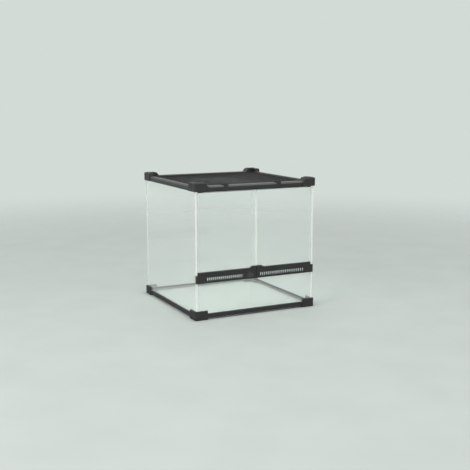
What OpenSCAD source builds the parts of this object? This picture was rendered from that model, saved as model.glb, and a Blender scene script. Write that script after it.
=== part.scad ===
// Flat-pack glass terrarium with two front doors and a lift-out mesh lid.
// Origin: centre of the footprint on the floor. +X runs right along the front, +Y to the back, +Z up.
// The front face looks towards -Y.

/* [Overall] */
// Width over the corner blocks
body_w = 300; // [260:1:450]
// Depth over the corner blocks
body_d = 300; // [260:1:450]
// Height from the feet to the top of the corner blocks
body_h = 300; // [260:1:450]

/* [Glass] */
// Thickness of the upright panes
glass_t = 4; // [3:0.5:5]
// Thickness of the floor pane
floor_t = 4; // [3:0.5:5]
// Outer face of the upright panes behind the faces of the corner blocks
glass_inset = 3; // [2.5:0.1:4]
// Play between the floor pane and the frame on each side
floor_play = 0.2; // [0.1:0.1:0.5]

/* [Base frame] */
// Height of a base corner block
base_corner_h = 20; // [16:1:30]
// Length of a base corner block's arm
base_arm = 30; // [26:1:40]
// Width of a base corner block's arm
base_arm_w = 14; // [13:1:20]
// Gap between the floor and the underside of a base rail
base_rail_z = 3; // [2:0.5:8]
// Height of a base rail
base_rail_h = 9.5; // [8:0.5:14]
// Width of a base rail, with its inner shelf
base_rail_w = 12.5; // [11:0.5:16]
// Plastic under the panes in a base rail
rail_floor_t = 2; // [1.5:0.5:3]
// Wall between an upright pane and the floor pane
rail_wall_t = 2; // [1.5:0.5:3]
// Rail face behind the face of the corner blocks
rail_set_back = 1.5; // [1:0.1:2]
// Length of the ends of the base rails and of the front and back top rails that a corner block grips
rail_grip = 14; // [8:1:16]

/* [Top frame] */
// Height of a top rail
top_rail_h = 11; // [10:1:18]
// Rise of the top corner blocks above the rails
corner_rise = 8.5; // [5:0.5:14]
// Length of a top corner block's arm at its foot
top_arm = 34; // [28:1:40]
// Run of the slope at the end of the top arms along the front and the back
arm_slope = 9; // [6:1:12]
// Run of the slope at the end of the top arms along the sides
side_slope = 2; // [1:0.5:6]
// Depth of the front and back top rails
top_front_w = 20; // [16:1:26]
// Width of the side top rails
top_side_w = 12.5; // [10:0.5:16]
// Width of the bevel along a top rail's outer edge
rail_bevel_w = 2; // [1:0.1:2.5]
// Height of the bevel along a top rail's outer edge
rail_bevel_h = 3; // [1:0.1:3.5]
// Depth that the panes reach into the top rails
pane_reach = 8; // [5:1:9]
// Width of the ledge that carries the lid
ledge_w = 4.5; // [3:0.5:6]
// Thickness of the ledge that carries the lid
ledge_t = 5; // [3:0.5:6]
// Height of the ribs on a top corner block
rib_h = 0.8; // [0.4:0.1:1.5]
// Width of a rib on a top corner block
rib_w = 2.4; // [1.5:0.1:3]
// Spacing of the ribs on a top corner block
rib_pitch = 7; // [5:0.5:8]
// Number of ribs on a top corner block
rib_count = 3; // [2:1:3]
// Depth of the panel sunk in each outer face of a top corner block
panel_depth = 0.6; // [0.3:0.1:1]
// Radius of the rounded edges of the corner blocks
edge_r = 2.5; // [1:0.5:3]

/* [Ventilation strip] */
// Underside of the strip above the floor
strip_z = 81; // [60:1:120]
// Height of the strip
strip_h = 18; // [16:1:24]
// Front face of the strip behind the faces of the corner blocks
strip_inset = 1; // [0.5:0.1:1.5]
// Depth of the strip from front to back
strip_d = 10; // [9.5:0.5:14]
// Thickness of the strip's walls
strip_wall = 2; // [1.5:0.1:2]
// Depth that the lower front pane reaches into the strip
strip_reach = 4.5; // [4:0.5:7]
// Height of the strip's back lip, which grips the pane
lip_h = 4.5; // [4:0.5:8]
// Width of a slot
slot_w = 2.9; // [1.5:0.1:3.5]
// Height of a slot
slot_h = 7.5; // [5:0.5:9]
// Underside of the slots above the underside of the strip
slot_lift = 4.5; // [3:0.5:5]
// Least spacing of the slots, which share their row evenly
slot_pitch = 4.75; // [4:0.05:8]
// Side of the body to the first slot's centre
slot_margin = 30.5; // [26:0.5:40]
// Centre of the body to the last slot in the left half, beside the lock
lock_margin = 33.5; // [28:0.5:40]
// Centre of the body to the last slot in the right half
plain_margin = 11; // [9:1:30]
// Gap between the two halves of the strip
strip_gap = 1; // [0.6:0.1:2]
// Length of the solid block at the outer end of each half
hinge_block = 19; // [16:1:22]
// Height of the upstand that stops the doors
stop_h = 3.5; // [2:0.5:5]
// Thickness of the door stop under the front top rail
top_stop_t = 2; // [1.5:0.1:3]

/* [Doors] */
// Hinge axis from the side of the body
hinge_x = 12; // [12:0.5:14]
// Hinge axis from the front of the body
hinge_y = 5; // [5:0.1:6]
// Door pane beyond its hinge axis
door_overhang = 3.4; // [2:0.1:3.4]
// Gap between the two door panes
door_gap = 2.2; // [2:0.1:4]
// Gap between the two door handles
handle_gap = 1.5; // [1:0.1:3]
// Depth of a door's bottom bar
bar_d = 8; // [7:0.5:8]
// Height of a door's bottom bar
bar_h = 5.4; // [5:0.1:8]
// Solid height of the bar under the door pane
bar_floor = 3.4; // [3.2:0.1:4]
// Gap between the strip and a door
door_play = 0.6; // [0.4:0.1:1]
// Gap between a closed door and the stops behind it
stop_play = 0.5; // [0.4:0.1:1]
// Gap between the top of a door's hinge clip and the top rail
clip_play = 0.6; // [0.4:0.1:1]
// Depth of a hinge clip
clip_d = 5.6; // [5.6:0.1:7]
// Height of a hinge clip
clip_h = 2.2; // [2:0.1:4]
// Length of a hinge clip from the hinge axis
clip_l = 8; // [6:1:14]
// Plastic over the door pane in a hinge clip
clip_roof = 1; // [0.8:0.1:1.2]
// Radius of a hinge pin
pin_r = 1.5; // [1:0.1:2]
// Radial play of a hinge pin
pin_play = 0.05; // [0.02:0.01:0.1]
// Length of the lower hinge pin in the strip
low_pin = 5.5; // [4:0.5:8]
// Length of the upper hinge pin in the corner block
top_pin = 9.5; // [5:0.5:12]
// Depth of a pin's hole beyond the pin
pin_end_play = 0.5; // [0.3:0.1:1]
// Length of a door's handle, from its inner end
handle_l = 24; // [22:1:34]
// Length of a finger grip at its foot
grip_l = 17; // [12:1:20]
// Run of the slope at the grip's outer end
grip_slope = 5; // [3:0.5:8]
// Height of a finger grip above the bar
grip_h = 4.5; // [3:0.5:8]
// Thickness of a finger grip
grip_t = 3; // [2:0.1:3]
// Grip front in front of the bar
grip_proud = 1; // [0.5:0.1:1]

/* [Door lock] */
// Centre of the lock from the centre of the body
lock_x = 15; // [13:0.5:16]
// Width of the lock's sunk panel
lock_w = 19; // [18:0.2:22]
// Height of the lock's sunk panel
lock_h = 11.5; // [10:0.5:12]
// Underside of the sunk panel above the underside of the strip
lock_lift = 3; // [2:0.5:3]
// Depth of the sunk panel
lock_sink = 1.5; // [1.2:0.1:1.5]
// Height of the slide's finger plate
lock_plate_h = 7; // [5:0.5:7]
// Width of the bolt behind the finger plate
bolt_w = 12; // [8:0.5:13]
// Thickness of the bolt
bolt_t = 2.5; // [2:0.1:2.5]
// Play around the slide
lock_play = 0.2; // [0.15:0.05:0.3]
// Play around the bolt in the door's handle
bolt_play = 0.5; // [0.4:0.05:0.6]
// Travel of the slide
lock_travel = 3.5; // [2.5:0.1:3.5]
// Height of the ridges on the finger plates
ridge_d = 0.8; // [0.4:0.1:1]
// Width of a ridge on the lock's finger plate
lock_ridge_w = 0.8; // [0.5:0.1:1]
// Spacing of the ridges on the lock's finger plate
lock_ridge_pitch = 1.6; // [1.4:0.1:2]

/* [Lid] */
// Thickness of the lid's frame
lid_t = 4; // [3:0.5:5]
// Width of the lid's frame
lid_border = 7; // [5:0.5:12]
// Play between the lid and the top frame on each side
lid_play = 0.3; // [0.2:0.1:1]
// Thickness of the mesh sheet
mesh_t = 0.8; // [0.6:0.1:1.2]
// Width of the mesh's bars
mesh_bar = 1.2; // [0.8:0.1:2]
// Gaps in the mesh along each side
mesh_gaps = 16; // [8:1:17]
// Depth that the mesh reaches into the lid's frame
mesh_reach = 2; // [1:0.5:3]
// Centre of the left lid latch from the centre of the body
latch_left_x = 74; // [40:1:90]
// Centre of the right lid latch from the centre of the body
latch_right_x = 56; // [40:1:90]
// Width of a lid latch
latch_w = 11; // [9:0.5:18]
// Length of a lid latch from front to back
latch_l = 16; // [12:1:17]
// Height of a lid latch above the rail
latch_h = 2.6; // [2:0.1:4]
// Back of a lid latch in front of the lid's opening
latch_set_back = 1.5; // [0.5:0.1:2]
// Width of a ridge on a lid latch
latch_ridge_w = 1; // [0.6:0.1:1.4]
// Spacing of the ridges on a lid latch
latch_ridge_pitch = 2.4; // [2:0.1:3]
// Gap under a lid latch
latch_play = 0.2; // [0.15:0.05:0.4]
// Travel of a lid latch
latch_travel = 5.5; // [3:0.5:5.5]
// Width of the key under a lid latch
key_w = 6; // [4:0.5:7]
// Length of the key under a lid latch
key_l = 6; // [4:0.5:8]
// Depth of the key under a lid latch
key_d = 2.2; // [1.5:0.1:3]
// Wall between the key's slot and the lid's opening
key_wall = 1; // [0.8:0.1:2]

/* [Hidden] */
$fn = 64;
plastic_color = [0.17, 0.17, 0.18];
slide_color = [0.24, 0.24, 0.26];
glass_color = [0.75, 0.88, 0.82, 0.35];
mesh_color = [0.2, 0.2, 0.2];

// Overlap that keeps a cut from ending exactly on a face
cut = 1;
half_w = body_w / 2;
half_d = body_d / 2;
// Faces of the upright panes, from the centre of the body
pane_out_x = half_w - glass_inset;
pane_out_y = half_d - glass_inset;
pane_in_x = pane_out_x - glass_t;
pane_in_y = pane_out_y - glass_t;
// Faces of the rails, from the centre of the body
rail_out_x = half_w - rail_set_back;
rail_out_y = half_d - rail_set_back;
groove_u = glass_inset - rail_set_back;
seat_z = base_rail_z + rail_floor_t;
base_top = base_rail_z + base_rail_h;
shelf_u = groove_u + glass_t + rail_wall_t;
// Levels of the top frame
top_corner_h = top_rail_h + corner_rise;
top_z = body_h - top_corner_h;
rail_top = body_h - corner_rise;
pane_top = top_z + pane_reach;
lid_top = rail_top - 1;
lid_z = lid_top - lid_t;
lid_in_x = half_w - top_side_w;
lid_in_y = half_d - top_front_w;
lid_w = 2 * (lid_in_x - lid_play);
lid_d = 2 * (lid_in_y - lid_play);
// Levels and faces of the ventilation strip and the doors
strip_top = strip_z + strip_h;
strip_front = -half_d + strip_inset;
strip_back = strip_front + strip_d;
low_pane_top = strip_z + strip_reach;
pivot_x = half_w - hinge_x;
pivot_y = -half_d + hinge_y;
bar_z = strip_top + door_play;
bar_top = bar_z + bar_h;
door_pane_z = bar_z + bar_floor;
clip_top = top_z - clip_play;
clip_z = clip_top - clip_h;
door_pane_top = clip_top - clip_roof;
door_out_x = pivot_x + door_overhang;
// Front faces of the door stops: behind the bars on the strip, behind the hinge clips under the top rail
low_stop_y = pivot_y + bar_d / 2 + stop_play;
top_stop_y = pivot_y + clip_d / 2 + stop_play;

// Points of a quarter round from the top face to the outer face, centred at [r, h - r]
function quarter_round(r, h, steps = 6) =
    [for (k = [0 : steps]) [r + r * cos(90 + 90 * k / steps), h - r + r * sin(90 + 90 * k / steps)]];

// Side view of a corner block's arm: rounded at the corner, sloped at its end
function arm_profile(length, h, run, drop) = concat(
    [[0, 0], [length, 0]],
    run > 0 ? [[length, h - drop], [length - run, h]] : [[length, h]],
    quarter_round(edge_r, h)
);

// Plan of a corner block: two arms from a rounded outer corner
function corner_plan(arm, wide_x, wide_y) = concat(
    [[arm, 0], [arm, wide_x], [wide_y, wide_x], [wide_y, arm], [0, arm]],
    [for (k = [0 : 6]) [edge_r - edge_r * cos(15 * k), edge_r - edge_r * sin(15 * k)]]
);

// Extrudes a profile drawn in X and Z along +Y
module along_y(length) {
    translate([0, length, 0]) rotate([90, 0, 0]) linear_extrude(length) children();
}

// Extrudes a profile drawn in Y and Z along +X
module along_x(length) {
    rotate([90, 0, 90]) linear_extrude(length) children();
}

// Moves a block drawn at the front left corner to any of the four corners
module at_corner(right, back) {
    mirror([right ? 1 : 0, 0, 0])
        mirror([0, back ? 1 : 0, 0])
            translate([-half_w, -half_d, 0]) children();
}

// Corner block with arms along +X and +Y, its outer corner at the origin
module corner_block(arm, wide_x, wide_y, h, run_x, run_y, drop) {
    intersection() {
        along_y(arm) polygon(arm_profile(arm, h, run_x, drop));
        along_x(arm) polygon(arm_profile(arm, h, run_y, drop));
        linear_extrude(h) polygon(corner_plan(arm, wide_x, wide_y));
    }
}

// Base corner block: foot below, sockets for two rails, slots for the panes
module base_corner(right, back) {
    socket = base_arm - rail_grip;
    pane_u = glass_inset + glass_t;
    color(plastic_color) at_corner(right, back) difference() {
        corner_block(base_arm, base_arm_w, base_arm_w, base_corner_h, 0, 0, 0);
        translate([base_arm - rail_grip, rail_set_back, base_rail_z])
            cube([rail_grip + cut, base_rail_w, base_rail_h]);
        translate([rail_set_back, base_arm - rail_grip, base_rail_z])
            cube([base_rail_w, rail_grip + cut, base_rail_h]);
        translate([glass_inset, glass_inset, seat_z])
            cube([base_arm, glass_t, base_corner_h]);
        translate([glass_inset, glass_inset, seat_z])
            cube([glass_t, base_arm, base_corner_h]);
        translate([pane_u, pane_u, base_top])
            cube([base_arm, base_arm, base_corner_h]);
        translate([pane_u + rail_wall_t, pane_u + rail_wall_t, seat_z])
            cube([base_arm, base_arm, base_corner_h]);
    }
}

// Section of a base rail: pane groove, inner wall and shelf for the floor pane
module base_rail_section() {
    groove_end = groove_u + glass_t;
    edge = 0.5;
    polygon([
        [edge, 0], [base_rail_w, 0], [base_rail_w, rail_floor_t], [shelf_u, rail_floor_t],
        [shelf_u, base_rail_h], [groove_end, base_rail_h], [groove_end, rail_floor_t],
        [groove_u, rail_floor_t], [groove_u, base_rail_h], [edge, base_rail_h],
        [0, base_rail_h - edge], [0, edge]
    ]);
}

// Base rail along the front or the back
module base_rail_across(back) {
    length = body_w - 2 * (base_arm - rail_grip);
    color(plastic_color) mirror([0, back ? 1 : 0, 0])
        translate([-length / 2, -rail_out_y, base_rail_z])
            along_x(length) base_rail_section();
}

// Base rail along the left or the right side
module base_rail_side(right) {
    length = body_d - 2 * (base_arm - rail_grip);
    color(plastic_color) mirror([right ? 1 : 0, 0, 0])
        translate([-rail_out_x, -length / 2, base_rail_z])
            along_y(length) base_rail_section();
}

// Floor pane, resting on the shelves of the base rails
module floor_glass() {
    inner_w = 2 * (rail_out_x - shelf_u - floor_play);
    inner_d = 2 * (rail_out_y - shelf_u - floor_play);
    color(glass_color) translate([-inner_w / 2, -inner_d / 2, seat_z])
        cube([inner_w, inner_d, floor_t]);
}

// Side pane, from the base rail into the top rail
module side_glass(right) {
    color(glass_color) mirror([right ? 1 : 0, 0, 0])
        translate([-pane_out_x, -pane_out_y, seat_z])
            cube([glass_t, 2 * pane_out_y, pane_top - seat_z]);
}

// Back pane, between the side panes
module back_glass() {
    color(glass_color) translate([-pane_in_x, pane_in_y, seat_z])
        cube([2 * pane_in_x, glass_t, pane_top - seat_z]);
}

// Lower front pane, between the side panes and under the ventilation strip
module lower_front_glass() {
    color(glass_color) translate([-pane_in_x, -pane_out_y, seat_z])
        cube([2 * pane_in_x, glass_t, low_pane_top - seat_z]);
}

// Ribs across the top of a top corner block
module corner_ribs() {
    first = edge_r + rib_w;
    for (k = [0 : rib_count - 1])
        translate([first + k * rib_pitch, edge_r, top_corner_h - rib_h - cut])
            cube([rib_w, top_front_w - 2 * edge_r, rib_h + cut]);
}

// Panels sunk in the two outer faces of a top corner block
module corner_panels() {
    margin = 5;
    panel_l = top_arm - arm_slope - 2 * margin;
    panel_h = corner_rise - 1;
    translate([margin, -cut, top_rail_h - margin / 2]) cube([panel_l, panel_depth + cut, panel_h]);
    translate([-cut, margin, top_rail_h - margin / 2]) cube([panel_depth + cut, panel_l, panel_h]);
}

// Top corner block: caps two rails and holds the tops of the panes
module top_corner(right, back) {
    drop = corner_rise - rib_h + rail_bevel_h;
    color(plastic_color) at_corner(right, back) translate([0, 0, top_z]) difference() {
        union() {
            corner_block(top_arm, top_front_w, top_side_w, top_corner_h - rib_h, arm_slope, side_slope, drop);
            corner_ribs();
        }
        corner_panels();
        translate([top_arm - rail_grip, rail_set_back, -cut])
            cube([rail_grip + cut, top_front_w, top_rail_h + cut]);
        translate([rail_set_back, top_front_w, -cut])
            cube([top_side_w - rail_set_back + ledge_w, top_arm - top_front_w + cut, top_rail_h + cut]);
        translate([glass_inset, glass_inset, -cut])
            cube([glass_t, top_arm, pane_reach + cut]);
        if (back)
            translate([glass_inset, glass_inset, -cut])
                cube([top_arm, glass_t, pane_reach + cut]);
        if (!back)
            translate([hinge_x, hinge_y, -cut])
                cylinder(r = pin_r + pin_play, h = cut + top_pin - clip_play + pin_end_play);
    }
}

// Section of a top rail, drawn inwards from its bevelled outer face: ledge for the lid on the inner side
module top_rail_section(wide, grooved) {
    ledge_top = lid_z - top_z;
    groove_end = groove_u + glass_t;
    difference() {
        polygon([
            [0, 0], [wide, 0], [wide, ledge_top - ledge_t], [wide + ledge_w, ledge_top - ledge_t],
            [wide + ledge_w, ledge_top], [wide, ledge_top], [wide, top_rail_h],
            [rail_bevel_w, top_rail_h], [0, top_rail_h - rail_bevel_h]
        ]);
        if (grooved)
            translate([groove_u, -cut]) square([groove_end - groove_u, pane_reach + cut]);
    }
}

// Slot in the front rail for the key under a lid latch
module latch_slot() {
    slot_l = key_l + latch_travel + 2 * latch_play;
    translate([-key_w / 2 - latch_play, latch_key_y() - latch_play, rail_top - key_d - latch_play])
        cube([key_w + 2 * latch_play, slot_l, key_d + latch_play + cut]);
}

// Square pad that fills the front rail's bevel before a lid latch
module latch_pad() {
    translate([-latch_w / 2, -rail_out_y, rail_top - rail_bevel_h - cut])
        cube([latch_w, rail_bevel_w + cut, rail_bevel_h + cut]);
}

// Top rail along the front, with the door stop below, and a pad and a slot for each lid latch
module top_rail_front() {
    length = body_w - 2 * (top_arm - rail_grip);
    color(plastic_color) difference() {
        union() {
            translate([-length / 2, -rail_out_y, top_z])
                along_x(length) top_rail_section(top_front_w - rail_set_back, false);
            translate([-length / 2, top_stop_y, top_z - stop_h])
                cube([length, top_stop_t, stop_h + cut]);
            for (x = [-latch_left_x, latch_right_x])
                translate([x, 0, 0]) latch_pad();
        }
        for (x = [-latch_left_x, latch_right_x])
            translate([x, 0, 0]) latch_slot();
    }
}

// Top rail along the back
module top_rail_back() {
    length = body_w - 2 * (top_arm - rail_grip);
    color(plastic_color) mirror([0, 1, 0])
        translate([-length / 2, -rail_out_y, top_z])
            along_x(length) top_rail_section(top_front_w - rail_set_back, true);
}

// Top rail along the left or the right side, as long as the lid's opening
module top_rail_side(right) {
    length = 2 * lid_in_y;
    color(plastic_color) mirror([right ? 1 : 0, 0, 0])
        translate([-rail_out_x, -length / 2, top_z])
            along_y(length) top_rail_section(top_side_w - rail_set_back, true);
}

// Slots through the front wall of the left half of the strip, counted in from its outer end
module strip_slots(centre_margin) {
    reach = half_w - slot_margin - centre_margin;
    steps = floor(reach / slot_pitch);
    for (k = [0 : steps])
        translate([-half_w + slot_margin + k * reach / steps - slot_w / 2, strip_front - cut, strip_z + slot_lift])
            cube([slot_w, strip_wall + 2 * cut, slot_h]);
}

// Half of the ventilation strip, drawn on the left: front wall, roof, back lip and solid ends
module strip_half(centre_margin, centre_block) {
    length = pane_out_x - strip_gap / 2;
    difference() {
        union() {
            translate([-pane_out_x, strip_front, strip_z]) cube([length, strip_wall, strip_h]);
            translate([-pane_out_x, strip_front, strip_top - strip_wall]) cube([length, strip_d, strip_wall]);
            translate([-pane_out_x, -pane_in_y, strip_z]) cube([length, strip_wall, lip_h]);
            translate([-pane_out_x, strip_front, strip_z]) cube([hinge_block, strip_d, strip_h]);
            translate([-strip_gap / 2 - centre_block, strip_front, strip_z]) cube([centre_block, strip_d, strip_h]);
            translate([-half_w + slot_margin, low_stop_y, strip_top - cut])
                cube([half_w - slot_margin - centre_block, strip_back - low_stop_y, stop_h + cut]);
        }
        strip_slots(centre_margin);
        translate([-pane_in_x, -pane_out_y, strip_z - cut])
            cube([2 * pane_in_x, glass_t, strip_reach + cut]);
        translate([-pane_out_x - cut, -pane_out_y, strip_z - cut])
            cube([glass_t + cut, strip_d, strip_h + 2 * cut]);
        translate([-pivot_x, pivot_y, strip_top - low_pin - pin_end_play + door_play])
            cylinder(r = pin_r + pin_play, h = low_pin + cut);
    }
}

// Left half of the ventilation strip, with the sunk panel and the channel of the door lock
module vent_strip_left() {
    bolt_y = strip_front + lock_sink - lock_play;
    color(plastic_color) difference() {
        strip_half(lock_margin, lock_margin - slot_pitch);
        translate([-lock_x - lock_w / 2, strip_front - cut, strip_z + lock_lift])
            cube([lock_w, lock_sink + cut, lock_h]);
        translate([-lock_x - bolt_w / 2 - lock_play, bolt_y - lock_play, low_pane_top + lock_play])
            cube([bolt_w + 2 * lock_play, bolt_t + 2 * lock_play, strip_h]);
    }
}

// Right half of the ventilation strip
module vent_strip_right() {
    color(plastic_color) mirror([1, 0, 0]) strip_half(plain_margin, plain_margin - slot_pitch / 2);
}

// Door lock: a ridged finger plate in the sunk panel, with a bolt that rises into the left door's bar
module lock_slide() {
    plate_w = lock_w - 4 * lock_play;
    plate_t = lock_sink - lock_play;
    plate_z = strip_z + lock_lift + lock_play;
    mid_z = plate_z + lock_plate_h / 2;
    bolt_y = strip_front + lock_sink - lock_play;
    bolt_z = low_pane_top + 2 * lock_play;
    color(slide_color) translate([-lock_x, 0, 0]) {
        translate([-plate_w / 2, strip_front, plate_z]) cube([plate_w, plate_t, lock_plate_h]);
        for (k = [-1 : 1])
            translate([-plate_w / 4, strip_front - ridge_d, mid_z + lock_ridge_pitch * k - lock_ridge_w / 2])
                cube([plate_w / 2, ridge_d + plate_t, lock_ridge_w]);
        translate([-bolt_w / 2, bolt_y, bolt_z])
            cube([bolt_w, bolt_t, strip_top - lock_play - bolt_z]);
    }
}

// Pane of the left door
module door_glass() {
    color(glass_color) translate([-door_out_x, pivot_y - glass_t / 2, door_pane_z])
        cube([door_out_x - door_gap / 2, glass_t, door_pane_top - door_pane_z]);
}

// Groove for the left door's pane in its bar and its handle
module pane_groove() {
    translate([-door_out_x, pivot_y - glass_t / 2, door_pane_z])
        cube([door_out_x, glass_t, bar_h + grip_h]);
}

// Bottom bar of the left door: pane groove, rounded hinge end and lower hinge pin
module door_bar() {
    bar_end = handle_gap / 2 + handle_l;
    color(plastic_color) difference() {
        union() {
            translate([-pivot_x, pivot_y - bar_d / 2, bar_z]) cube([pivot_x - bar_end, bar_d, bar_h]);
            translate([-pivot_x, pivot_y, bar_z]) cylinder(d = bar_d, h = bar_h);
            translate([-pivot_x, pivot_y, strip_top - low_pin + door_play]) cylinder(r = pin_r, h = low_pin + cut);
        }
        pane_groove();
    }
}

// Handle at the inner end of the left door: pane groove, finger grip and, where it locks, the bolt's socket
module door_handle(locked) {
    bar_front = pivot_y - bar_d / 2;
    socket_w = bolt_w + 2 * bolt_play;
    socket_d = bolt_t + 2 * bolt_play;
    socket_y = strip_front + lock_sink - lock_play - bolt_play;
    color(plastic_color) difference() {
        union() {
            translate([-handle_gap / 2 - handle_l, bar_front, bar_z]) cube([handle_l, bar_d, bar_h]);
            translate([-handle_gap / 2 - grip_l, bar_front - grip_proud, bar_z + bar_floor])
                along_y(grip_t) polygon([
                    [0, 0], [grip_l, 0], [grip_l, bar_h - bar_floor + grip_h],
                    [grip_slope, bar_h - bar_floor + grip_h], [0, bar_h - bar_floor]
                ]);
        }
        pane_groove();
        if (locked)
            translate([-lock_x - socket_w / 2, socket_y, bar_z - cut])
                cube([socket_w, socket_d, lock_travel - door_play + cut]);
    }
}

// Top hinge clip of the left door: grips the pane's corner and carries the upper hinge pin
module door_clip() {
    color(plastic_color) difference() {
        union() {
            translate([-pivot_x, pivot_y - clip_d / 2, clip_z]) cube([clip_l, clip_d, clip_h]);
            translate([-pivot_x, pivot_y, clip_z]) cylinder(d = clip_d, h = clip_h);
            translate([-pivot_x, pivot_y, clip_top - clip_roof]) cylinder(r = pin_r, h = top_pin + clip_roof);
        }
        translate([-door_out_x, pivot_y - glass_t / 2, clip_z - cut])
            cube([door_out_x, glass_t, clip_h - clip_roof + cut]);
    }
}

// Lid frame: a flat border with a groove inside that holds the mesh
module lid_frame() {
    open_w = lid_w - 2 * lid_border;
    open_d = lid_d - 2 * lid_border;
    color(plastic_color) difference() {
        translate([-lid_w / 2, -lid_d / 2, lid_z]) cube([lid_w, lid_d, lid_t]);
        translate([-open_w / 2, -open_d / 2, lid_z - cut]) cube([open_w, open_d, lid_t + 2 * cut]);
        translate([0, 0, lid_z + (lid_t - mesh_t) / 2]) mesh_blank();
    }
}

// Space that the mesh sheet takes up
module mesh_blank() {
    mesh_w = lid_w - 2 * lid_border + 2 * mesh_reach;
    mesh_d = lid_d - 2 * lid_border + 2 * mesh_reach;
    translate([-mesh_w / 2, -mesh_d / 2, 0]) cube([mesh_w, mesh_d, mesh_t]);
}

// Mesh sheet: crossed bars inside a solid edge
module lid_mesh() {
    open_w = lid_w - 2 * lid_border;
    open_d = lid_d - 2 * lid_border;
    gap_w = (open_w + mesh_bar) / mesh_gaps - mesh_bar;
    gap_d = (open_d + mesh_bar) / mesh_gaps - mesh_bar;
    color(mesh_color) translate([0, 0, lid_z + (lid_t - mesh_t) / 2]) difference() {
        mesh_blank();
        for (i = [0 : mesh_gaps - 1], j = [0 : mesh_gaps - 1])
            translate([-open_w / 2 + i * (gap_w + mesh_bar), -open_d / 2 + j * (gap_d + mesh_bar), -cut])
                cube([gap_w, gap_d, mesh_t + 2 * cut]);
    }
}

// Front of a latch's key at rest
function latch_key_y() = -lid_in_y - key_wall - 2 * latch_play - latch_travel - key_l;

// Lid latch: a ridged plate on the front rail, with a key that slides in the rail's slot
module lid_latch() {
    plate_z = rail_top + latch_play;
    plate_y = -lid_in_y - latch_set_back - latch_l;
    first_y = plate_y + latch_l / 2 - 1.5 * latch_ridge_pitch - latch_ridge_w / 2;
    ridge_l = latch_w - 2 * latch_ridge_w;
    color(slide_color) {
        translate([-latch_w / 2, plate_y, plate_z]) cube([latch_w, latch_l, latch_h - ridge_d]);
        for (k = [0 : 3])
            translate([-ridge_l / 2, first_y + latch_ridge_pitch * k, plate_z])
                cube([ridge_l, latch_ridge_w, latch_h]);
        translate([-key_w / 2, latch_key_y(), rail_top - key_d]) cube([key_w, key_l, key_d + latch_h / 2]);
    }
}

// Puts a piece drawn for the left door on the right
module on_right() {
    mirror([1, 0, 0]) children();
}

base_corner(false, false);  // base_corner_front_left
base_corner(true, false);  // base_corner_front_right
base_corner(false, true);  // base_corner_back_left
base_corner(true, true);  // base_corner_back_right
base_rail_across(false);  // base_rail_front
base_rail_across(true);  // base_rail_back
base_rail_side(false);  // base_rail_left
base_rail_side(true);  // base_rail_right
floor_glass();
side_glass(false);  // left_glass
side_glass(true);  // right_glass
back_glass();
lower_front_glass();
top_corner(false, false);  // top_corner_front_left
top_corner(true, false);  // top_corner_front_right
top_corner(false, true);  // top_corner_back_left
top_corner(true, true);  // top_corner_back_right
top_rail_front();
top_rail_back();
top_rail_side(false);  // top_rail_left
top_rail_side(true);  // top_rail_right
vent_strip_left();
vent_strip_right();
lock_slide();
door_glass();  // left_door_glass
door_bar();  // left_door_bar
door_handle(true);  // left_door_handle
door_clip();  // left_door_clip
on_right() door_glass();  // right_door_glass
on_right() door_bar();  // right_door_bar
on_right() door_handle(false);  // right_door_handle
on_right() door_clip();  // right_door_clip
lid_frame();
lid_mesh();
translate([-latch_left_x, 0, 0]) lid_latch();  // lid_latch_left
translate([latch_right_x, 0, 0]) lid_latch();  // lid_latch_right
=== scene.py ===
"""Looks of a glass terrarium with a black plastic frame, two front doors and a woven lid screen.

Everything is in metres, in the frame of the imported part: +X to the right along the front,
+Y to the back, +Z up, with the floor at z = 0.
"""

import math

import bmesh
import bpy
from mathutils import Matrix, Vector

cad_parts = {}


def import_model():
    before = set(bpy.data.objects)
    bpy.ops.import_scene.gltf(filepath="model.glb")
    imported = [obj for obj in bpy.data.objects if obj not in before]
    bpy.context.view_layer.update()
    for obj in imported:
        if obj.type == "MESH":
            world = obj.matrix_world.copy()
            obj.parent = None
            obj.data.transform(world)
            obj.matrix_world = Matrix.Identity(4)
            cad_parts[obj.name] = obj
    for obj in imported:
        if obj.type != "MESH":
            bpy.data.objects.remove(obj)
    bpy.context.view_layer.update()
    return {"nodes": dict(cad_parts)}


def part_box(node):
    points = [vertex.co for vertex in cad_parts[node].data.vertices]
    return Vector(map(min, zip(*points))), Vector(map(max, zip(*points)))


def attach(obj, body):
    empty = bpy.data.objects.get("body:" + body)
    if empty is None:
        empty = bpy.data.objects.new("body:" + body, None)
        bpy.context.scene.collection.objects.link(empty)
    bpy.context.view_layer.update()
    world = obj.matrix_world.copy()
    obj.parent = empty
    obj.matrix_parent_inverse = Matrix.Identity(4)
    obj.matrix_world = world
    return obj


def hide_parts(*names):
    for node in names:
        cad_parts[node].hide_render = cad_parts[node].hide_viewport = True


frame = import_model()

MM = 0.001
SCENE = bpy.context.scene


# ---------------------------------------------------------------- colours and nodes


def srgb(code):
    """A hex sRGB colour as linear red, green, blue and alpha."""
    parts = [int(code[k : k + 2], 16) / 255 for k in (1, 3, 5)]
    linear = [c / 12.92 if c <= 0.04045 else ((c + 0.055) / 1.055) ** 2.4 for c in parts]
    return (*linear, 1.0)


def add(tree, kind, inputs=None, **settings):
    """Adds a node, sets its settings, and fills or links its inputs."""
    made = tree.nodes.new(kind)
    for name, value in settings.items():
        setattr(made, name, value)
    for name, value in (inputs or {}).items():
        if isinstance(value, bpy.types.NodeSocket):
            tree.links.new(value, made.inputs[name])
        else:
            made.inputs[name].default_value = value
    return made


def blank(name):
    """An empty node material and its tree, with the output node."""
    material = bpy.data.materials.new(name)
    material.use_nodes = True
    tree = material.node_tree
    tree.nodes.clear()
    return material, tree, tree.nodes.new("ShaderNodeOutputMaterial")


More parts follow.
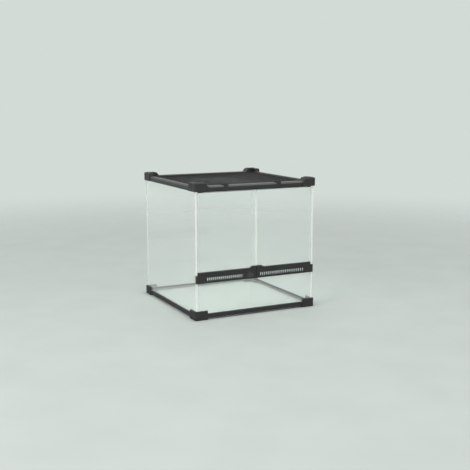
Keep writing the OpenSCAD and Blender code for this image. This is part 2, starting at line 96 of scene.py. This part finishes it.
def grains(tree, where, size_mm, detail=2.0, roughness=0.5):
    """Noise whose blobs are about size_mm across, from 0 to 1."""
    return add(
        tree,
        "ShaderNodeTexNoise",
        {"Vector": where, "Scale": 1 / (size_mm * MM), "Detail": detail, "Roughness": roughness},
    ).outputs["Fac"]


# Nearly all of a noise lies between these values
NOISE_LOW, NOISE_HIGH = 0.32, 0.68


def spread(tree, value, low, high):
    """The middle of a noise, drawn out to go from low to high."""
    ends = {"From Min": NOISE_LOW, "From Max": NOISE_HIGH, "To Min": low, "To Max": high}
    return add(tree, "ShaderNodeMapRange", {"Value": value, **ends}).outputs["Result"]


def combine(tree, operation, first, second):
    """Two values combined by a sum, a product or a test."""
    return add(tree, "ShaderNodeMath", {0: first, 1: second}, operation=operation).outputs[0]


def blend_colours(tree, factor, first, second):
    """A colour between two, by a factor."""
    return add(
        tree,
        "ShaderNodeMix",
        {"Factor": factor, "A": first, "B": second},
        data_type="RGBA",
    ).outputs["Result"]


# ---------------------------------------------------------------- materials


def moulded_plastic(name, dark, light, dust_and_sheen_colour, dust_and_sheen_share, gloss):
    """Injection-moulded ABS from a spark-eroded mould: an even charcoal with a fine matt grain,
    which greys where it is seen at a low angle. Where the surface looks up, a purple-grey film
    lightens it, partly dust and partly painted sheen for the light that tops and bevels catch."""
    material, tree, output = blank(name)
    where = add(tree, "ShaderNodeTexCoord").outputs["Object"]
    # Flow of the melt leaves cloudy patches about 30 mm across, a shade apart
    cloudy = spread(tree, grains(tree, where, 30), 0, 1)
    body = blend_colours(tree, cloudy, srgb(dark), srgb(light))
    # Specks of about 3 mm, partly dust and partly painted sheen, lighten the surface where it looks
    # up, bevels included
    facing = add(tree, "ShaderNodeNewGeometry").outputs["Normal"]
    up = add(tree, "ShaderNodeSeparateXYZ", {"Vector": facing}).outputs["Z"]
    upward_dust_and_sheen = add(
        tree,
        "ShaderNodeMapRange",
        {"Value": up, "From Min": 0.25, "From Max": 0.6, "To Max": dust_and_sheen_share},
    ).outputs["Result"]
    specks = spread(tree, grains(tree, where, 3, 4), 0.55, 1.0)
    dust_and_sheen_film = combine(tree, "MULTIPLY", upward_dust_and_sheen, specks)
    # The film's purple-grey is partly dust and partly a painted sheen
    colour = blend_colours(tree, dust_and_sheen_film, body, srgb(dust_and_sheen_colour))
    # The grain of the mould is about 0.1 mm, drawn at 0.9 mm so that it shows
    grain = grains(tree, where, 0.9, 1)
    bump = add(
        tree, "ShaderNodeBump", {"Height": grain, "Strength": 0.35, "Distance": 0.08 * MM}
    ).outputs["Normal"]
    matt = spread(tree, grains(tree, where, 9), gloss - 0.05, gloss + 0.05)
    shader = add(
        tree,
        "ShaderNodeBsdfPrincipled",
        {"Base Color": colour, "Roughness": matt, "IOR": 1.53, "Normal": bump},
    )
    tree.links.new(shader.outputs[0], output.inputs["Surface"])
    return material


def let_lamps_through(tree, shader, output, tint):
    """Mixes in a clear side for the rays that run to the lamps, so that glass throws no dark
    shadow."""
    clear = add(tree, "ShaderNodeBsdfTransparent", {"Color": srgb(tint)})
    path = add(tree, "ShaderNodeLightPath").outputs["Is Shadow Ray"]
    mixed = add(tree, "ShaderNodeMixShader", {0: path, 1: shader.outputs[0], 2: clear.outputs[0]})
    tree.links.new(mixed.outputs[0], output.inputs["Surface"])


def polished_glass():
    """Float glass, fire polished: clear and flat, with a thin film of dust that whitens what lies
    behind it, and a few wiped smears about 50 mm across that only dull its reflections."""
    material, tree, output = blank("float_glass_polished")
    where = add(tree, "ShaderNodeTexCoord").outputs["Object"]
    smears = spread(tree, grains(tree, where, 50, 3), 0.0, 0.05)
    shader = add(
        tree,
        "ShaderNodeBsdfPrincipled",
        {
            "Base Color": srgb("#fbfdfc"),
            "Roughness": smears,
            "IOR": 1.52,
            "Transmission Weight": 0.92,
        },
    )
    let_lamps_through(tree, shader, output, "#f6faf8")
    return material


def cut_glass(name, dark, light, clear, roughness):
    """A cut edge of float glass. Ground with a fine belt it scatters the light and looks white;
    only seamed it stays half clear and shows a faint green."""
    material, tree, output = blank(name)
    where = add(tree, "ShaderNodeTexCoord").outputs["Object"]
    tone = spread(tree, grains(tree, where, 6, 2), 0, 1)
    colour = blend_colours(tree, tone, srgb(dark), srgb(light))
    # Belt marks are about 0.1 mm, drawn at 0.8 mm so that they show
    grit = grains(tree, where, 0.8, 2)
    bump = add(
        tree, "ShaderNodeBump", {"Height": grit, "Strength": 0.3, "Distance": 0.05 * MM}
    ).outputs["Normal"]
    shader = add(
        tree,
        "ShaderNodeBsdfPrincipled",
        {
            "Base Color": colour,
            "Roughness": roughness,
            "IOR": 1.52,
            "Transmission Weight": clear,
            "Normal": bump,
        },
    )
    let_lamps_through(tree, shader, output, "#e4f2ea")
    return material


def coated_wire():
    """Woven steel wire with a black powder coat: a brown-black with a soft satin shine, a little
    lighter where the coat is thin."""
    material, tree, output = blank("powder_coated_wire")
    where = add(tree, "ShaderNodeTexCoord").outputs["Object"]
    thin = spread(tree, grains(tree, where, 1.5, 2), 0, 1)
    colour = blend_colours(tree, thin, srgb("#151413"), srgb("#1f1d1c"))
    matt = spread(tree, grains(tree, where, 12), 0.58, 0.7)
    shader = add(
        tree,
        "ShaderNodeBsdfPrincipled",
        {"Base Color": colour, "Roughness": matt, "IOR": 1.5},
    )
    tree.links.new(shader.outputs[0], output.inputs["Surface"])
    return material


# The fourth and fifth values are the colour and share of the film of dust and painted sheen; the
# rails take the most, for the light band along their tops and bevels
RAIL_ABS = moulded_plastic("moulded_abs_matt", "#171718", "#1f1f20", "#8a868a", 0.32, 0.46)
CORNER_ABS = moulded_plastic("moulded_abs_fine_matt", "#161617", "#1e1e1f", "#85808a", 0.07, 0.5)
# The base takes its own copy of the same black ABS, rougher and with its own tones, so that its
# side faces render darker: painted shade
BASE_ABS_SHADED = moulded_plastic("moulded_abs_coarse_matt_shaded", "#1b1b1c", "#232324", "#85808a", 0.05, 0.72)
# The lid frame and its latches take a darker, rougher copy of the same black ABS, so that they
# render dark as if in shadow: painted shade
LID_ABS_SHADED = moulded_plastic("moulded_abs_deep_matt_shaded", "#111111", "#171718", "#85808a", 0.04, 0.68)
LOCK_ABS = moulded_plastic("moulded_abs_satin", "#353537", "#3d3d3f", "#85808a", 0.15, 0.38)
POLISHED = polished_glass()
GROUND = cut_glass("float_glass_ground_edge", "#f0f4ee", "#fafcf8", 0.1, 0.45)
SEAMED = cut_glass("float_glass_seamed_edge", "#dce6df", "#e9f1ec", 0.55, 0.35)
WIRE = coated_wire()


# ---------------------------------------------------------------- modelling helpers


def deselect():
    """Leaves object mode with nothing selected."""
    if bpy.context.object and bpy.context.object.mode != "OBJECT":
        bpy.ops.object.mode_set(mode="OBJECT")
    bpy.ops.object.select_all(action="DESELECT")


def settle(piece):
    """Puts the piece's place, turn and size into its mesh."""
    deselect()
    piece.select_set(True)
    bpy.context.view_layer.objects.active = piece
    bpy.ops.object.transform_apply(location=True, rotation=True, scale=True)


def select_faces(piece, wanted):
    """In edit mode, selects the faces that wanted(face) is true for, and no others."""
    mesh = bmesh.from_edit_mesh(piece.data)
    bpy.ops.mesh.select_mode(type="FACE")
    bpy.ops.mesh.select_all(action="DESELECT")
    for face in mesh.faces:
        face.select = wanted(face)
    bmesh.update_edit_mesh(piece.data)


def place(piece, body, slot, *nodes):
    """The piece moves with a body and stands for nodes, which are hidden; slot is not used."""
    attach(piece, body)
    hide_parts(*nodes)


# ---------------------------------------------------------------- moulded parts


def soften(node, radius_mm):
    """Rounds the sharp edges of a moulded part, as a mould's corners leave them."""
    part = frame["nodes"][node]
    weld = part.modifiers.new("weld", "WELD")
    weld.merge_threshold = 0.001 * MM
    round_off = part.modifiers.new("rounded_edges", "BEVEL")
    round_off.width = radius_mm * MM
    round_off.segments = 2
    round_off.limit_method = "ANGLE"
    round_off.angle_limit = math.radians(35)


def finish_part(node, material, radius_mm):
    """Gives a moulded part its material and its rounded edges."""
    frame["nodes"][node].data.materials[0] = material
    soften(node, radius_mm)


CORNERS = ["front_left", "front_right", "back_left", "back_right"]
SIDES = ["front", "back", "left", "right"]
for corner in CORNERS:
    finish_part("base_corner_" + corner, BASE_ABS_SHADED, 0.5)
    finish_part("top_corner_" + corner, CORNER_ABS, 0.4)
for side in SIDES:
    finish_part("base_rail_" + side, BASE_ABS_SHADED, 0.3)
    finish_part("top_rail_" + side, RAIL_ABS, 0.4)
for hand in ("left", "right"):
    finish_part("vent_strip_" + hand, RAIL_ABS, 0.2)
    finish_part(hand + "_door_bar", RAIL_ABS, 0.3)
    finish_part(hand + "_door_handle", RAIL_ABS, 0.3)
    finish_part(hand + "_door_clip", RAIL_ABS, 0.25)
    finish_part("lid_latch_" + hand, LID_ABS_SHADED, 0.2)
finish_part("lid_frame", LID_ABS_SHADED, 0.4)
finish_part("lock_slide", LOCK_ABS, 0.15)


# ---------------------------------------------------------------- glass panes

# A pane sits a little slack in its groove, and its cut edges have the sharpness taken off
GROOVE_SLACK = 0.05 * MM
ARRIS = 0.4 * MM
# The polished faces lie straight across the flat axis, the edges along it and the arrises between
POLISHED_NORMAL = 0.9
# A face that turns this far towards a direction faces it: the edge and its two arrises
FACING = 0.5


def pane(name, node, body, flat_axis, ground=(0, -1, 0)):
    """A glass pane on the place of a node: polished faces across flat_axis, a ground edge on the
    side that ground points to, where the pane shows its edge, and seamed edges elsewhere."""
    low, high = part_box(node)
    size = [b - a - 2 * GROOVE_SLACK for a, b in zip(low, high)]
    middle = [(a + b) / 2 for a, b in zip(low, high)]
    deselect()
    bpy.ops.mesh.primitive_cube_add(size=1, location=middle, scale=size)
    piece = bpy.context.object
    piece.name = piece.data.name = name
    settle(piece)
    for finish in (POLISHED, SEAMED, GROUND):
        piece.data.materials.append(finish)
    bpy.ops.object.mode_set(mode="EDIT")
    bpy.ops.mesh.select_all(action="SELECT")
    bpy.ops.mesh.bevel(offset=ARRIS, segments=1, affect="EDGES")

    def is_cut(face):
        return abs(face.normal[flat_axis]) < POLISHED_NORMAL

    def is_ground(face):
        return is_cut(face) and face.normal.dot(Vector(ground)) > FACING

    for finish_index, wanted in ((1, is_cut), (2, is_ground)):
        select_faces(piece, wanted)
        piece.active_material_index = finish_index
        bpy.ops.object.material_slot_assign()
    bpy.ops.object.mode_set(mode="OBJECT")
    place(piece, body, "clear_glass", node)


pane("floor_pane", "floor_glass", "tank", 2)
pane("left_pane", "left_glass", "tank", 0)
pane("right_pane", "right_glass", "tank", 0)
pane("back_pane", "back_glass", "tank", 1)
pane("lower_front_pane", "lower_front_glass", "tank", 1)
pane("left_door_pane", "left_door_glass", "left_door", 1, (1, 0, 0))
pane("right_door_pane", "right_door_glass", "right_door", 1, (-1, 0, 0))


# ---------------------------------------------------------------- woven lid screen

# Plain weave of 0.4 mm wire. A real screen has about 1.5 mm between wires, drawn at 2.4 mm so that
# the weave shows from close by
WIRE_R = 0.2 * MM
WIRES_X, WIRES_Y = 112, 104


def wave_wire(start, step, lift):
    """One wave of a wire as a square tube, from its crossing at start to the next two, a step apart
    each, under the one and over the other by lift."""
    along = Vector(step).normalized()
    turn = (0, math.pi / 2, 0) if along.x > 0.5 else (math.pi / 2, 0, 0)
    deselect()
    bpy.ops.mesh.primitive_circle_add(vertices=4, radius=WIRE_R, location=start, rotation=turn)
    piece = bpy.context.object
    settle(piece)
    bpy.ops.object.mode_set(mode="EDIT")
    bpy.ops.mesh.select_mode(type="EDGE")
    bpy.ops.mesh.select_all(action="SELECT")
    for way in (1, -1):
        bpy.ops.mesh.extrude_region_move(
            TRANSFORM_OT_translate={"value": (step[0], step[1], 2 * way * lift)}
        )
    bpy.ops.object.mode_set(mode="OBJECT")
    return piece


def repeat(piece, count, shift, joined):
    """Repeats the piece count times, shift apart, and joins the ends that meet."""
    array = piece.modifiers.new("repeat", "ARRAY")
    array.use_relative_offset = False
    array.use_constant_offset = True
    array.constant_offset_displace = shift
    array.count = count
    array.use_merge_vertices = joined
    array.merge_threshold = 0.01 * MM
    bpy.context.view_layer.objects.active = piece
    bpy.ops.object.modifier_apply(modifier=array.name)


def woven_wires(name, low, high, axis, count, crossings, phase):
    """All the wires that run along an axis, over and under the wires across them."""
    other = 1 - axis
    pitch = (high[other] - low[other] - 2 * WIRE_R) / (count - 1)
    stride = (high[axis] - low[axis]) / crossings
    step = [0.0, 0.0, 0.0]
    step[axis] = stride
    level = (low[2] + high[2]) / 2
    lift = WIRE_R * 0.95
    pair = []
    for row in (0, 1):
        way = phase if row == 0 else -phase
        start = [0.0, 0.0, level - way * lift]
        start[axis] = low[axis]
        start[other] = low[other] + WIRE_R + row * pitch
        pair.append(wave_wire(start, step, way * lift))
    deselect()
    for wire in pair:
        wire.select_set(True)
    bpy.context.view_layer.objects.active = pair[0]
    bpy.ops.object.join()
    wires = pair[0]
    wires.name = wires.data.name = name
    along = [0.0, 0.0, 0.0]
    along[axis] = 2 * stride
    repeat(wires, crossings // 2, along, True)
    across = [0.0, 0.0, 0.0]
    across[other] = 2 * pitch
    repeat(wires, count // 2, across, False)
    bpy.ops.object.mode_set(mode="EDIT")
    bpy.ops.mesh.select_all(action="SELECT")
    bpy.ops.mesh.fill_holes(sides=4)
    bpy.ops.mesh.select_all(action="SELECT")
    bpy.ops.mesh.normals_make_consistent(inside=False)
    bpy.ops.object.mode_set(mode="OBJECT")
    bpy.ops.object.shade_smooth_by_angle(angle=math.radians(60))
    return wires


def lid_screen():
    """The screen in the lid's frame, woven from wires along X and wires along Y."""
    low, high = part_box("lid_mesh")
    along_x = woven_wires("lid_screen", low, high, 0, WIRES_Y, WIRES_X, 1)
    along_y = woven_wires("lid_screen_y", low, high, 1, WIRES_X, WIRES_Y, -1)
    deselect()
    along_x.select_set(True)
    along_y.select_set(True)
    bpy.context.view_layer.objects.active = along_x
    bpy.ops.object.join()
    along_x.data.materials.append(WIRE)
    place(along_x, "mesh_lid", "mesh_metal", "lid_mesh")


lid_screen()


# ---------------------------------------------------------------- floor, light and camera

BACKGROUND = "#d3dbd6"
FLOOR_SIZE = 12
FLOOR_DROP = 0.5 * MM


def world():
    """A pale room: what the camera, reflections and glass see is the background's colour, and the
    light it sheds is softer than that, also through glass."""
    room = bpy.data.worlds.new("pale_room")
    SCENE.world = room
    room.use_nodes = True
    tree = room.node_tree
    tree.nodes.clear()
    path = add(tree, "ShaderNodeLightPath").outputs
    mirrored = combine(tree, "MAXIMUM", path["Is Camera Ray"], path["Is Glossy Ray"])
    clear = combine(tree, "MAXIMUM", mirrored, path["Is Transmission Ray"])
    # A ray that has met a matt surface carries light to it, whatever it runs through later
    straight = combine(tree, "LESS_THAN", path["Diffuse Depth"], 0.5)
    seen = combine(tree, "MULTIPLY", clear, straight)
    light = add(tree, "ShaderNodeBackground", {"Color": srgb("#ffffff"), "Strength": 0.45})
    backdrop = add(tree, "ShaderNodeBackground", {"Color": srgb(BACKGROUND), "Strength": 1.0})
    mixed = add(
        tree, "ShaderNodeMixShader", {0: seen, 1: light.outputs[0], 2: backdrop.outputs[0]}
    )
    output = tree.nodes.new("ShaderNodeOutputWorld")
    tree.links.new(mixed.outputs[0], output.inputs["Surface"])


def floor():
    """A plain pale floor that fades into the background away from the object."""
    deselect()
    bpy.ops.mesh.primitive_plane_add(size=FLOOR_SIZE, location=(0, 0, -FLOOR_DROP))
    sheet = bpy.context.object
    sheet.name = "studio_floor"
    material, tree, output = blank("painted_board")
    where = add(tree, "ShaderNodeTexCoord").outputs["Object"]
    away = add(tree, "ShaderNodeVectorMath", {0: where}, operation="LENGTH").outputs["Value"]
    fade = add(
        tree,
        "ShaderNodeMapRange",
        {"Value": away, "From Min": 0.5, "From Max": 2.4},
        interpolation_type="SMOOTHSTEP",
    ).outputs["Result"]
    mottle = spread(tree, grains(tree, where, 120), 0, 1)
    colour = blend_colours(tree, mottle, srgb("#c2cac5"), srgb("#c6cec9"))
    board = add(
        tree, "ShaderNodeBsdfPrincipled", {"Base Color": colour, "Roughness": 0.85}
    )
    clear = add(tree, "ShaderNodeBsdfTransparent")
    mixed = add(
        tree, "ShaderNodeMixShader", {0: fade, 1: board.outputs[0], 2: clear.outputs[0]}
    )
    tree.links.new(mixed.outputs[0], output.inputs["Surface"])
    sheet.data.materials.append(material)


def lamp(name, place_at, aim, size, power):
    """A soft square lamp that looks at a point."""
    light = bpy.data.lights.new(name, "AREA")
    light.shape = "SQUARE"
    light.size = size
    light.energy = power
    holder = bpy.data.objects.new(name, light)
    SCENE.collection.objects.link(holder)
    holder.location = place_at
    holder.rotation_mode = "QUATERNION"
    holder.rotation_quaternion = (Vector(aim) - Vector(place_at)).to_track_quat("-Z", "Y")


def camera():
    """The camera at the viewing angle of the photograph."""
    azimuth, elevation = math.radians(-26.76), math.radians(9.43)
    target = Vector((0.0217, 0.0005, 0.1541))
    back = Vector(
        (
            math.sin(azimuth) * math.cos(elevation),
            -math.cos(azimuth) * math.cos(elevation),
            math.sin(elevation),
        )
    )
    view = bpy.data.cameras.new("camera")
    view.lens = 63.13
    view.sensor_width = 36
    view.clip_start, view.clip_end = 0.05, 50
    holder = bpy.data.objects.new("camera", view)
    SCENE.collection.objects.link(holder)
    holder.location = target + back * 1.966
    holder.rotation_mode = "QUATERNION"
    holder.rotation_quaternion = (-back).to_track_quat("-Z", "Y")
    SCENE.camera = holder


world()
floor()
lamp("left_window", (-2.2, -0.7, 1.8), (0, 0, 0.25), 1.4, 36)
lamp("front_top", (0.9, -1.2, 1.9), (0, 0, 0.2), 1.4, 13)
lamp("front_low", (-0.9, -2.4, 0.5), (0, 0, 0.15), 1.0, 12)
lamp("back_top", (0.2, 0.6, 2.2), (0, 0, 0.2), 1.6, 9)
camera()
SCENE.view_settings.view_transform = "Standard"
